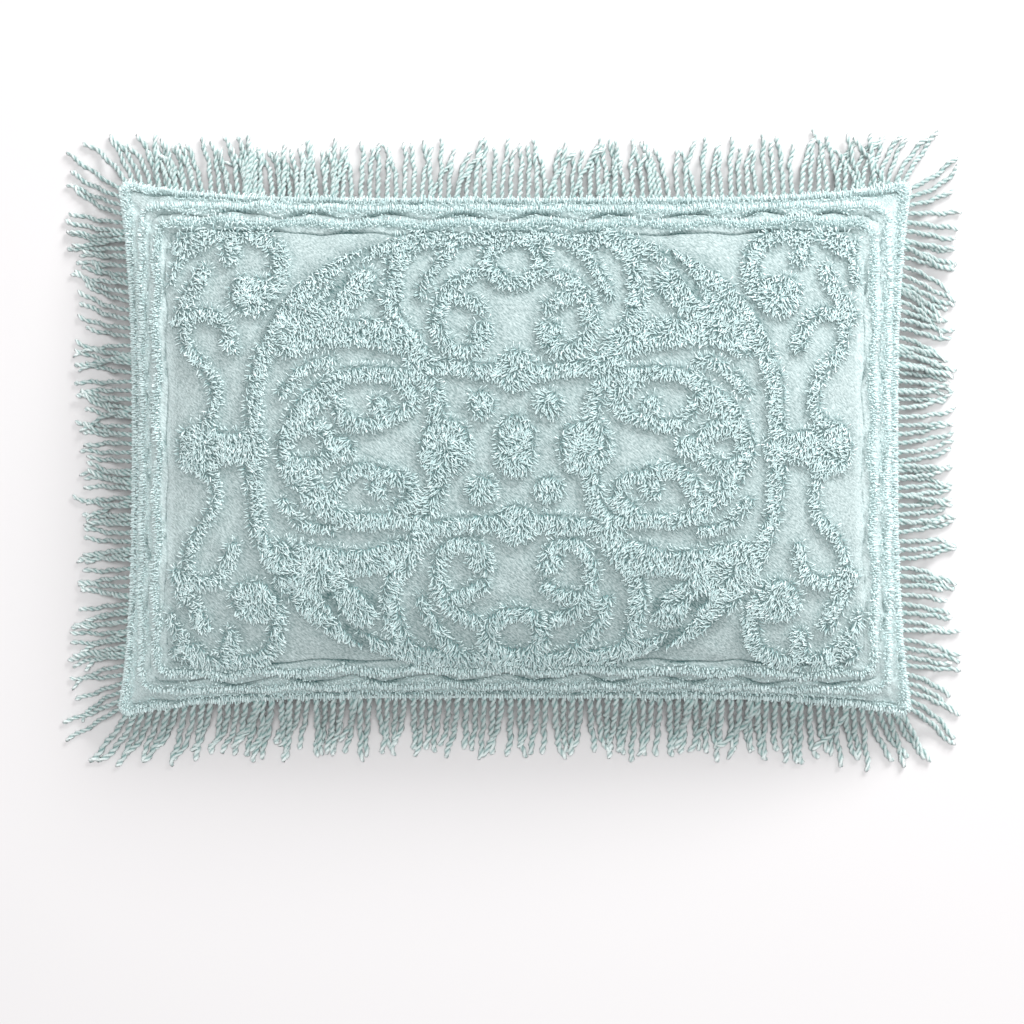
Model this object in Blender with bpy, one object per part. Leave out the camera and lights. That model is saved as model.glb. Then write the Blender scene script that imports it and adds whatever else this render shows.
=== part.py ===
"""A filled chenille pillow sham lying on its back: a tufted cotton cover, padded to a low crown,
with a run of twisted bullion fringe sewn into the seam of each side.

Metres, +Z up. The long sides run along X, the tufted face looks up, and the underside rests on
z = 0. Patterns are drawn in cut sizes: where a point lies on the face while it is still flat.
"""

import math

import bmesh
import bpy
import numpy as np

# The cover, as cut and sewn, and its seam once it is filled.
CUT_HALF_X = 0.381
CUT_HALF_Y = 0.254
SEAM_MID_X = 0.357
SEAM_MID_Y = 0.232
SEAM_CORNER_X = 0.3755
SEAM_CORNER_Y = 0.2535
DRAW_IN_X_POWER = 3.0
DRAW_IN_Y_POWER = 4.5
CORNER_RADIUS = 0.017
SEAM_MID_Z = 0.047
SEAM_CORNER_Z = 0.026
SEAM_FALL_POWER = 4.0

# The crown of the face over its seam, and how far the slack of the cloth is taken up outwards.
CROWN_RISE = 0.0825
CROWN_X_POWER = 3.0
CROWN_Y_POWER = 2.4
CROWN_SHOULDER = 0.7
SLACK_X = 0.04
SLACK_Y = 0.05
SLACK_POWER = 9.0

# The underside, from the seam to the flat where it rests.
REST_SHARE = 0.72
UNDER_SHARES = (0.96, 0.90, 0.82, 0.77, REST_SHARE)
UNDER_POWER = 1.7
UNDER_CORNER_GROWTH = 0.30

# The mesh of the face, before it is thinned.
FACE_CELLS_X = 150
FACE_CELLS_Y = 100
UNDER_STEP = 5
FACE_TRIANGLES = 7600

# Cut cotton pile.
PILE_HEIGHT = 0.0065
PILE_SHOULDER = 0.0055

# Tufted rows that follow the seam: distance in from it, width, how much further in they run at the
# corners, and how far and how often they wander.
BORDER_ROWS = (
    # distance, width, further in at the corners, wander, waves along a long side, phase
    (0.0055, 0.0120, 0.000, 0.0006, 10, 0.0),
    (0.0180, 0.0110, 0.013, 0.0016, 11, 0.9),
    (0.0370, 0.0150, 0.010, 0.0022, 10, 2.1),
)
ROW_CORNER_RADIUS = 0.012
CORNER_REACH = 0.13

# Tufted bands in one quarter of the face, mirrored into the other three.
BANDS = (
    # name, width, points along the middle
    ("centre oval", 0.038, ((0.000, 0.000), (0.000, 0.011))),
    ("centre dot", 0.028, ((0.031, 0.040),)),
    ("frame side", 0.017, ((0.069, 0.000), (0.071, 0.028), (0.076, 0.052), (0.088, 0.068))),
    ("frame side knot", 0.050, ((0.065, 0.000), (0.065, 0.003))),
    ("frame end", 0.017, ((0.000, 0.072), (0.037, 0.072), (0.074, 0.076), (0.093, 0.081))),
    ("frame end knot", 0.040, ((0.000, 0.072),)),
    ("side lobe", 0.016, ((0.088, 0.068), (0.121, 0.069), (0.154, 0.068), (0.178, 0.056),
                          (0.198, 0.040), (0.212, 0.020), (0.216, 0.000))),
    ("side scroll", 0.015, ((0.112, 0.063), (0.096, 0.049), (0.099, 0.034), (0.117, 0.027),
                            (0.140, 0.021), (0.158, 0.028), (0.170, 0.045), (0.173, 0.062))),
    ("side scroll tip", 0.022, ((0.126, 0.039),)),
    ("side nose", 0.026, ((0.161, 0.000), (0.166, 0.000))),
    ("side leaf", 0.012, ((0.172, 0.079), (0.190, 0.076), (0.205, 0.067), (0.216, 0.051))),
    ("side wedge", 0.020, ((0.185, 0.041), (0.198, 0.033), (0.206, 0.024))),
    ("slanting leaf", 0.028, ((0.100, 0.100), (0.140, 0.108), (0.175, 0.108), (0.213, 0.099))),
    ("leaf fill", 0.036, ((0.142, 0.153), (0.174, 0.134), (0.201, 0.109))),
    ("end lobe", 0.018, ((0.079, 0.080), (0.098, 0.103), (0.109, 0.120), (0.114, 0.140),
                         (0.113, 0.160), (0.104, 0.186), (0.086, 0.206))),
    ("end scroll", 0.015, ((0.037, 0.165), (0.058, 0.153), (0.069, 0.134), (0.071, 0.112),
                           (0.061, 0.095), (0.045, 0.090), (0.031, 0.098), (0.028, 0.114))),
    ("end scroll tip", 0.024, ((0.033, 0.107),)),
    ("end scroll branch", 0.015, ((0.058, 0.143), (0.042, 0.139), (0.031, 0.132))),
    ("end leaf", 0.013, ((0.086, 0.145), (0.078, 0.165), (0.065, 0.184), (0.054, 0.194))),
    ("corner head", 0.040, ((0.238, 0.143), (0.248, 0.143))),
    ("corner scroll", 0.017, ((0.224, 0.143), (0.219, 0.168), (0.224, 0.191), (0.244, 0.203),
                              (0.271, 0.203), (0.296, 0.198), (0.317, 0.188))),
    ("corner hook", 0.018, ((0.265, 0.178), (0.266, 0.200))),
    ("corner edge", 0.011, ((0.291, 0.192), (0.316, 0.176), (0.326, 0.154))),
    ("corner petal", 0.017, ((0.292, 0.165), (0.303, 0.146), (0.315, 0.129))),
    ("corner tail", 0.015, ((0.321, 0.119), (0.289, 0.125), (0.272, 0.115), (0.265, 0.094))),
    ("side garland", 0.013, ((0.310, 0.117), (0.311, 0.098), (0.299, 0.080), (0.286, 0.064),
                             (0.281, 0.045), (0.286, 0.028), (0.299, 0.017))),
    ("side bar", 0.032, ((0.246, 0.000), (0.296, 0.000))),
    ("side knot", 0.050, ((0.294, 0.000), (0.298, 0.000))),
)

# Tufted bands that close on themselves.
RINGS = (
    # name, width, centre x, centre y, radius x, radius y, squareness
    ("side eye", 0.017, 0.1935, 0.000, 0.0215, 0.0185, 2.0),
    ("end eye", 0.017, 0.000, 0.179, 0.025, 0.022, 2.0),
    ("medallion", 0.018, 0.000, 0.000, 0.246, 0.204, 2.6),
)
BAND_STEPS = 6
RING_STEPS = 72

# The fringe: doubled ropes whose upper ends are caught in a narrow header.
STRAND_PITCH = 0.0083
STRAND_RADIUS = 0.0026
STRAND_REACH = 0.060
STRAND_REACH_SPREAD = 0.007
STRAND_GAP = 0.0058
STRAND_REST_SHARE = 0.80
STRAND_SHARES = (0.36, 0.80, 1.0)
STRAND_CURL = 0.45
TIP_SHARE = 0.72
HEADER_GAP = 0.0003
HEADER_DEPTH = 0.0025
HEADER_STEP = 0.014
HEADER_CORNER_STEP = 0.003
HEADER_END_GAP = 0.0008
FAN_ANGLE = 45.0
FAN_REACH = 0.024
LEAN_JITTER = 3.5
CLUMP_PULL = 0.75
CLUMP_LIMIT = 4
CLUMP_CLEAR = 0.045
PARTING_PASSES = 200
STEEPEST_LEAN = 0.8
SEED = 7

# How finely a seam is walked, and the half length over which its direction is read.
SEAM_SAMPLES = 1600
SEAM_LOOK = 0.0015

# How the ropes of each run lean along it, in degrees towards +X or +Y.
RUNS = (
    # name, side of the cover, ((share along the side, lean), ...)
    ("fringe_front", (0, -1), ((-0.9, -22), (-0.7, -15), (-0.4, -8), (0.0, -3), (0.4, 2), (0.8, 9),
                               (0.93, 20))),
    ("fringe_right", (1, 0), ((-0.9, -14), (-0.6, -7), (-0.3, 4), (0.1, 6), (0.4, -10), (0.65, -20),
                              (0.9, -6))),
    ("fringe_back", (0, 1), ((-0.9, -22), (-0.7, -15), (-0.4, -4), (0.0, 3), (0.4, -3), (0.7, 5),
                             (0.9, 16))),
    ("fringe_left", (-1, 0), ((-0.9, -12), (-0.5, -4), (-0.1, 3), (0.3, 9), (0.55, 18), (0.75, 4),
                              (0.9, 14))),
)

COTTON = (0.62, 0.77, 0.76, 1.0)
FRINGE_COTTON = (0.66, 0.79, 0.78, 1.0)
COTTON_ROUGHNESS = 0.95


def clear_scene():
    for obj in list(bpy.data.objects):
        bpy.data.objects.remove(obj, do_unlink=True)


def cotton(name, colour):
    material = bpy.data.materials.new(name)
    material.use_nodes = True
    shader = material.node_tree.nodes["Principled BSDF"]
    shader.inputs["Base Color"].default_value = colour
    shader.inputs["Roughness"].default_value = COTTON_ROUGHNESS
    shader.inputs["Metallic"].default_value = 0.0
    material.diffuse_color = colour
    return material


# ---------------------------------------------------------------- the cover's form


def eased(u, v, half_x, half_y, radius):
    """Points of a rectangle moved so that its corners are round."""
    a = np.clip(np.abs(u) - (half_x - radius), 0, radius) / radius
    b = np.clip(np.abs(v) - (half_y - radius), 0, radius) / radius
    in_x = radius * a * (1 - np.sqrt(1 - b * b / 2))
    in_y = radius * b * (1 - np.sqrt(1 - a * a / 2))
    return np.sign(u) * (np.abs(u) - in_x), np.sign(v) * (np.abs(v) - in_y)


def plan(u, v):
    """Where a point of the flat cut lies, seen from above, once the cover is filled."""
    s = u / CUT_HALF_X
    t = v / CUT_HALF_Y
    out_x = s * (1 + SLACK_X * (1 - np.abs(s) ** SLACK_POWER))
    out_y = t * (1 + SLACK_Y * (1 - np.abs(t) ** SLACK_POWER))
    reach_x = SEAM_MID_X + (SEAM_CORNER_X - SEAM_MID_X) * np.abs(t) ** DRAW_IN_X_POWER
    reach_y = SEAM_MID_Y + (SEAM_CORNER_Y - SEAM_MID_Y) * np.abs(s) ** DRAW_IN_Y_POWER
    return out_x * reach_x, out_y * reach_y


def seam_z(u, v):
    share = np.abs(u / CUT_HALF_X * v / CUT_HALF_Y) ** SEAM_FALL_POWER
    return SEAM_MID_Z + (SEAM_CORNER_Z - SEAM_MID_Z) * share


def crown(u, v):
    across_x = np.clip(1 - np.abs(u / CUT_HALF_X) ** CROWN_X_POWER, 0, 1) ** CROWN_SHOULDER
    across_y = np.clip(1 - np.abs(v / CUT_HALF_Y) ** CROWN_Y_POWER, 0, 1) ** CROWN_SHOULDER
    return CROWN_RISE * across_x * across_y


# ---------------------------------------------------------------- the tufting


def smooth_line(points, steps=BAND_STEPS):
    """A curve through hand-placed points (Catmull-Rom)."""
    points = np.array(points, float)
    if len(points) < 3:
        return points
    ends = np.vstack([2 * points[0] - points[1], points, 2 * points[-1] - points[-2]])
    line = []
    for i in range(len(points) - 1):
        a, b, c, d = ends[i:i + 4]
        for q in np.arange(steps) / steps:
            bend = (2 * a - 5 * b + 4 * c - d) * q ** 2 + (3 * b - a - 3 * c + d) * q ** 3
            line.append(0.5 * (2 * b + (c - a) * q + bend))
    return np.array(line + [points[-1]])


def ring_line(x, y, radius_x, radius_y, squareness):
    angle = np.linspace(0, 2 * math.pi, RING_STEPS + 1)
    across = np.sign(np.cos(angle)) * np.abs(np.cos(angle)) ** (2 / squareness)
    along = np.sign(np.sin(angle)) * np.abs(np.sin(angle)) ** (2 / squareness)
    return np.column_stack([x + radius_x * across, y + radius_y * along])


def distance_to_line(u, v, line):
    if len(line) == 1:
        return np.hypot(u - line[0, 0], v - line[0, 1])
    nearest = np.full(np.shape(u), np.inf)
    for (ax, ay), (bx, by) in zip(line[:-1], line[1:]):
        length_squared = (bx - ax) ** 2 + (by - ay) ** 2
        q = np.clip(((u - ax) * (bx - ax) + (v - ay) * (by - ay)) / length_squared, 0, 1)
        nearest = np.minimum(nearest, np.hypot(u - ax - q * (bx - ax), v - ay - q * (by - ay)))
    return nearest


def distance_from_seam(u, v, radius):
    """How far in from the edge of the cut a point lies, with the corners of the rows rounded."""
    in_x = CUT_HALF_X - np.abs(u)
    in_y = CUT_HALF_Y - np.abs(v)
    corner = (in_x < radius) & (in_y < radius)
    rounded = radius - np.hypot(radius - in_x, radius - in_y)
    return np.where(corner, rounded, np.minimum(in_x, in_y))


def border_depth(u, v):
    deepest = np.full(np.shape(u), -np.inf)
    in_x = CUT_HALF_X - np.abs(u)
    in_y = CUT_HALF_Y - np.abs(v)
    along = np.where(in_y < in_x, u, v + CUT_HALF_X)
    near = np.clip(1 - np.maximum(in_x, in_y) / CORNER_REACH, 0, 1)
    near = near ** 2 * (3 - 2 * near)
    for distance, width, spread, wander, waves, phase in BORDER_ROWS:
        inset = distance_from_seam(u, v, distance + spread + ROW_CORNER_RADIUS)
        wave = wander * (1 - near) * np.sin(math.pi * waves * along / CUT_HALF_X + phase)
        middle = distance + spread * near + wave
        deepest = np.maximum(deepest, width / 2 - np.abs(inset - middle))
    return deepest


def tuft_depth(u, v):
    """How far inside a tufted band a point of the flat face lies; less than 0 is plain ground."""
    depth = border_depth(u, v)
    u = np.abs(u)
    v = np.abs(v)
    for _, width, points in BANDS:
        depth = np.maximum(depth, width / 2 - distance_to_line(u, v, smooth_line(points)))
    for _, width, x, y, radius_x, radius_y, squareness in RINGS:
        line = ring_line(x, y, radius_x, radius_y, squareness)
        depth = np.maximum(depth, width / 2 - distance_to_line(u, v, line))
    return depth


def pile_rise(u, v):
    share = np.clip(tuft_depth(u, v) / PILE_SHOULDER, 0, 1)
    edge = np.clip((CUT_HALF_X - np.abs(u)) / PILE_SHOULDER, 0, 1)
    edge = np.minimum(edge, np.clip((CUT_HALF_Y - np.abs(v)) / PILE_SHOULDER, 0, 1))
    return PILE_HEIGHT * np.sqrt(1 - (1 - share) ** 2) * edge


# ---------------------------------------------------------------- the padded cover


def rectangle_loop(cells_x, cells_y):
    """Shares (s, t) round the edge of a square from -1 to 1, anticlockwise from its low corner."""
    across = np.linspace(-1, 1, cells_x + 1)[:-1]
    along = np.linspace(-1, 1, cells_y + 1)[:-1]
    ones_x = np.ones(cells_x)
    ones_y = np.ones(cells_y)
    s = np.concatenate([across, ones_y, -across, -ones_y])
    t = np.concatenate([-ones_x, along, ones_x, -along])
    return s, t


def stitch(mesh, outer, outer_at, inner, inner_at):
    """Triangles between two rows of vertices, walked by their places along the row."""
    i = 0
    j = 0
    while i < len(outer) - 1 or j < len(inner) - 1:
        step_outer = j == len(inner) - 1 or (i < len(outer) - 1 and outer_at[i + 1] <= inner_at[j + 1])
        if step_outer:
            mesh.faces.new((outer[i], outer[i + 1], inner[j]))
            i += 1
        else:
            mesh.faces.new((outer[i], inner[j + 1], inner[j]))
            j += 1


def build_sham():
    mesh = bmesh.new()
    u, v = np.meshgrid(
        np.linspace(-CUT_HALF_X, CUT_HALF_X, FACE_CELLS_X + 1),
        np.linspace(-CUT_HALF_Y, CUT_HALF_Y, FACE_CELLS_Y + 1),
        indexing="ij",
    )
    x, y = plan(*eased(u, v, CUT_HALF_X, CUT_HALF_Y, CORNER_RADIUS))
    z = seam_z(u, v) + crown(u, v) + pile_rise(u, v)
    face = [[mesh.verts.new(point) for point in zip(*row)] for row in zip(x, y, z)]
    for i in range(FACE_CELLS_X):
        for j in range(FACE_CELLS_Y):
            mesh.faces.new((face[i][j], face[i + 1][j], face[i + 1][j + 1], face[i][j + 1]))

    seam = [face[i][0] for i in range(FACE_CELLS_X)]
    seam += [face[FACE_CELLS_X][j] for j in range(FACE_CELLS_Y)]
    seam += [face[FACE_CELLS_X - i][FACE_CELLS_Y] for i in range(FACE_CELLS_X)]
    seam += [face[0][FACE_CELLS_Y - j] for j in range(FACE_CELLS_Y)]
    upper = seam + seam[:1]
    upper_at = np.arange(len(upper)) / UNDER_STEP
    s, t = rectangle_loop(FACE_CELLS_X // UNDER_STEP, FACE_CELLS_Y // UNDER_STEP)
    for share in UNDER_SHARES:
        half_x = share * CUT_HALF_X
        half_y = share * CUT_HALF_Y
        radius = CORNER_RADIUS + (1 - share) * UNDER_CORNER_GROWTH
        x, y = plan(*eased(s * half_x, t * half_y, half_x, half_y, radius))
        fall = ((share - REST_SHARE) / (1 - REST_SHARE)) ** UNDER_POWER
        z = seam_z(s * CUT_HALF_X, t * CUT_HALF_Y) * fall
        ring = [mesh.verts.new(point) for point in zip(x, y, z)]
        lower = ring + ring[:1]
        lower_at = np.arange(len(lower))
        stitch(mesh, lower, lower_at, upper, upper_at)
        upper = lower
        upper_at = lower_at
    mesh.faces.new(reversed(ring))

    # Only the inside of the face is thinned: the seam and the underside keep every point.
    mesh.verts.index_update()
    loose = [vert.index for row in face[1:-1] for vert in row[1:-1]]
    total = sum(len(f.verts) - 2 for f in mesh.faces)
    face_total = 2 * FACE_CELLS_X * FACE_CELLS_Y
    obj = mesh_object("sham", mesh, cotton("sham_cotton", COTTON))
    group = obj.vertex_groups.new(name="inside of the face")
    group.add(loose, 1.0, "REPLACE")
    thinned = obj.modifiers.new("Thin the flat parts of the face", "DECIMATE")
    thinned.ratio = (total - face_total + FACE_TRIANGLES) / total
    thinned.vertex_group = group.name
    thinned.use_collapse_triangulate = True
    return obj


def mesh_object(name, mesh, material):
    data = bpy.data.meshes.new(name)
    mesh.to_mesh(data)
    mesh.free()
    data.materials.append(material)
    obj = bpy.data.objects.new(name, data)
    bpy.context.scene.collection.objects.link(obj)
    return obj


# ---------------------------------------------------------------- the fringe


class SideSeam:
    """The seam of one side, walked by length from the middle of one corner to the next."""

    def __init__(self, side):
        self.out = np.array(side, float)
        self.along = np.array([abs(side[1]), abs(side[0])], float)
        share = np.linspace(-1, 1, SEAM_SAMPLES)
        u = CUT_HALF_X * (share * self.along[0] + side[0])
        v = CUT_HALF_Y * (share * self.along[1] + side[1])
        x, y = plan(*eased(u, v, CUT_HALF_X, CUT_HALF_Y, CORNER_RADIUS))
        self.points = np.column_stack([x, y, seam_z(u, v)])
        steps = np.hypot(np.diff(x), np.diff(y))
        self.at = np.concatenate([[0], np.cumsum(steps)])
        self.length = self.at[-1]

    def point(self, at):
        return np.array([np.interp(at, self.at, self.points[:, k]) for k in range(3)]).T

    def outward(self, at):
        ahead = self.point(np.minimum(at + SEAM_LOOK, self.length))[..., :2]
        behind = self.point(np.maximum(at - SEAM_LOOK, 0))[..., :2]
        tangent = ahead - behind
        tangent /= np.linalg.norm(tangent, axis=-1, keepdims=True)
        normal = np.stack([-tangent[..., 1], tangent[..., 0]], axis=-1)
        return np.sign(normal @ self.out)[..., None] * normal


def strands_of(seam, leans, rng):
    """The ropes of one run: root place, angle from square to the side (radians) and reach."""
    count = int(round(seam.length / STRAND_PITCH))
    root = (np.arange(count) + 0.5) * seam.length / count
    reach = STRAND_REACH + STRAND_REACH_SPREAD * rng.uniform(-1, 1, count)
    share = 2 * root / seam.length - 1
    lean = np.interp(share, [place for place, _ in leans], [angle for _, angle in leans])
    fan = FAN_ANGLE * (np.exp(-(seam.length - root) / FAN_REACH) - np.exp(-root / FAN_REACH))
    near_end = np.exp(-np.minimum(root, seam.length - root) / FAN_REACH)
    angle = lean * (1 - near_end) + fan + rng.uniform(-1, 1, count) * LEAN_JITTER
    angle = np.radians(angle)

    # Neighbours gather in small clumps, and are then parted until none touches the next.
    base = seam.point(root) @ np.array([*seam.along, 0])
    tip = base + reach * np.sin(angle)
    start = 0
    while start < count:
        stop = min(count, start + int(rng.integers(1, CLUMP_LIMIT + 1)))
        inside = (root[start:stop] > CLUMP_CLEAR) & (root[start:stop] < seam.length - CLUMP_CLEAR)
        if inside.all():
            tip[start:stop] += CLUMP_PULL * (tip[start:stop].mean() - tip[start:stop])
        start = stop
    for _ in range(PARTING_PASSES):
        lack = np.maximum(STRAND_GAP - np.diff(tip), 0) / 2
        tip[:-1] -= lack
        tip[1:] += lack
    angle = np.arcsin(np.clip((tip - base) / reach, -STEEPEST_LEAN, STEEPEST_LEAN))
    return root, angle, reach


def strand_point(seam, root, angle, reach, share):
    """A point along the middle of one rope, from the seam down to where it lies on the floor."""
    start = seam.point(root)
    aside = math.sin(angle) * reach * (share * (1 - STRAND_CURL) + share ** 2 * STRAND_CURL)
    ahead = math.cos(angle) * reach * share
    fall = min(share / STRAND_REST_SHARE, 1)
    drop = (start[2] - STRAND_RADIUS) * (3 * fall ** 2 - 2 * fall ** 3)
    place = start[:2] + seam.out * ahead + seam.along * aside
    return np.array([place[0], place[1], start[2] - drop])


def build_run(name, side, leans, rng):
    """One header with its ropes, each grown from a triangle in the header's outer face."""
    seam = SideSeam(side)
    mesh = bmesh.new()
    turn = 1 if seam.out[0] - seam.out[1] > 0 else -1
    depth = HEADER_GAP + HEADER_DEPTH

    def header_vert(at, out, height):
        point = seam.point(at)
        point[:2] += seam.outward(at) * out
        point[2] += height
        return mesh.verts.new(point)

    def face(*corners):
        mesh.faces.new(corners if turn > 0 else corners[::-1])

    root, angle, reach = strands_of(seam, leans, rng)
    first = HEADER_END_GAP
    last = seam.length - HEADER_END_GAP
    top = [header_vert(first, depth, STRAND_RADIUS)]
    top_at = [first]
    bottom = [header_vert(first, depth, -STRAND_RADIUS)]
    bottom_at = [first]
    for at, lean, length in zip(root, angle, reach):
        left = header_vert(at - STRAND_RADIUS, depth, -STRAND_RADIUS)
        right = header_vert(at + STRAND_RADIUS, depth, -STRAND_RADIUS)
        apex = header_vert(at, depth, STRAND_RADIUS)
        face(bottom[-1], left, apex)
        face(bottom[-1], apex, top[-1])
        top.append(apex)
        top_at.append(at)
        bottom += [left, right]
        bottom_at += [at - STRAND_RADIUS, at + STRAND_RADIUS]
        section = (left, right, apex)
        before = seam.point(at)
        for share in STRAND_SHARES:
            middle = strand_point(seam, at, lean, length, share)
            heading = (middle - before)[:2]
            heading /= np.linalg.norm(heading)
            radius = STRAND_RADIUS * (TIP_SHARE if share == 1 else 1)
            across = turn * radius * np.array([-heading[1], heading[0]])
            low = middle[2] - STRAND_RADIUS
            high = low + 2 * radius
            following = (
                mesh.verts.new((middle[0] - across[0], middle[1] - across[1], low)),
                mesh.verts.new((middle[0] + across[0], middle[1] + across[1], low)),
                mesh.verts.new((middle[0], middle[1], high)),
            )
            for a in range(3):
                b = (a + 1) % 3
                face(section[a], section[b], following[b])
                face(section[a], following[b], following[a])
            section = following
            before = middle
        face(*section)
    end_top = header_vert(last, depth, STRAND_RADIUS)
    end_bottom = header_vert(last, depth, -STRAND_RADIUS)
    face(bottom[-1], end_bottom, end_top)
    face(bottom[-1], end_top, top[-1])
    top.append(end_top)
    top_at.append(last)
    bottom.append(end_bottom)
    bottom_at.append(last)

    corner = 2 * CORNER_RADIUS
    back_at = np.concatenate([
        np.arange(first, corner, HEADER_CORNER_STEP),
        np.linspace(corner, seam.length - corner, int((seam.length - 2 * corner) / HEADER_STEP)),
        np.arange(last, seam.length - corner, -HEADER_CORNER_STEP)[::-1],
    ])
    back_top = [header_vert(at, HEADER_GAP, STRAND_RADIUS) for at in back_at]
    back_bottom = [header_vert(at, HEADER_GAP, -STRAND_RADIUS) for at in back_at]
    upper = ((top, top_at), (back_top, back_at))
    under = ((back_bottom, back_at), (bottom, bottom_at))
    for rows in (upper, under):
        one, other = rows if turn > 0 else rows[::-1]
        stitch(mesh, *one, *other)
    for i in range(len(back_at) - 1):
        face(back_bottom[i + 1], back_bottom[i], back_top[i], back_top[i + 1])
    face(bottom[0], top[0], back_top[0], back_bottom[0])
    face(top[-1], bottom[-1], back_bottom[-1], back_top[-1])
    return mesh_object(name, mesh, cotton(name + "_cotton", FRINGE_COTTON))


def centre_on_origin(objects):
    """Slides everything in X and Y until the whole stands over the origin."""
    corners = np.array([point.co for obj in objects for point in obj.data.vertices])
    middle = (corners.min(axis=0) + corners.max(axis=0)) / 2
    for obj in objects:
        obj.location.x -= middle[0]
        obj.location.y -= middle[1]


def main():
    clear_scene()
    rng = np.random.default_rng(SEED)
    objects = [build_sham()]
    for name, side, leans in RUNS:
        objects.append(build_run(name, side, leans, rng))
    centre_on_origin(objects)


main()
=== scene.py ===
"""A filled chenille pillow sham on a pale floor, seen from straight above.

The cover is two cotton panels joined by a seam that is held fixed, blown up to a cushion by a
cloth simulation. On its face stand the cut yarn ends of the chenille, set along the bands of a
medallion, and folds run between the rows of its border. Doubled ropes hang from the seam of each
side and lie on the floor. Sizes are in metres, and patterns are drawn on the flat cut.
"""

import math

import bpy
import numpy as np
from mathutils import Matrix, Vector


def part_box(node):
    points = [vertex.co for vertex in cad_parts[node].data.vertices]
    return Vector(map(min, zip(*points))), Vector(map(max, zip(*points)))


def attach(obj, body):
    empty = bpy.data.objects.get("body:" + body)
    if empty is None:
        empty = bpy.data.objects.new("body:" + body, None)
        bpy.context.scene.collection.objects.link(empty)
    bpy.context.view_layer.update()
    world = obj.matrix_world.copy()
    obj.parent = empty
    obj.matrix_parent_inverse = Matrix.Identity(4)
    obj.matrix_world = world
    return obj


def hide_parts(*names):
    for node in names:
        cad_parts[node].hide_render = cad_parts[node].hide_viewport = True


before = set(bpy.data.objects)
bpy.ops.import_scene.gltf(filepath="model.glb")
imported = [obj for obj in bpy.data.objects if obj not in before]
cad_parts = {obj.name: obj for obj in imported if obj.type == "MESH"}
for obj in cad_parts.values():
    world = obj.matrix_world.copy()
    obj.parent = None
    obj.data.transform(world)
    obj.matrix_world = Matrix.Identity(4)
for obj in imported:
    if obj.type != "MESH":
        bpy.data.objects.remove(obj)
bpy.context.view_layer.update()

# ---- sizes

# The cover, as cut and sewn, and its seam once it is filled.
CUT_HALF_X = 0.381
CUT_HALF_Y = 0.254
SEAM_MID_X = 0.357
SEAM_MID_Y = 0.232
SEAM_CORNER_X = 0.3755
SEAM_CORNER_Y = 0.2535
DRAW_IN_X_POWER = 3.0
DRAW_IN_Y_POWER = 4.5
CORNER_RADIUS = 0.017
SEAM_MID_Z = 0.047
SEAM_CORNER_Z = 0.026
SEAM_FALL_POWER = 4.0

# The crown of the face over its seam, and how far the slack cloth moves outwards.
CROWN_RISE = 0.0825
CROWN_X_POWER = 3.0
CROWN_Y_POWER = 2.4
CROWN_SHOULDER = 0.7
SLACK_X = 0.04
SLACK_Y = 0.05
SLACK_POWER = 9.0
# How deep the back hangs under its seam, as a share of the crown.
BACK_DEPTH = 0.8

# Tufted rows that follow the seam.
BORDER_ROWS = (
    # distance, width, further in at the corners, wander, waves along a long side, phase
    (0.0055, 0.0120, 0.000, 0.0006, 10, 0.0),
    (0.0180, 0.0110, 0.013, 0.0016, 11, 0.9),
    (0.0370, 0.0150, 0.010, 0.0022, 10, 2.1),
)
ROW_CORNER_RADIUS = 0.012
CORNER_REACH = 0.13

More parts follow.
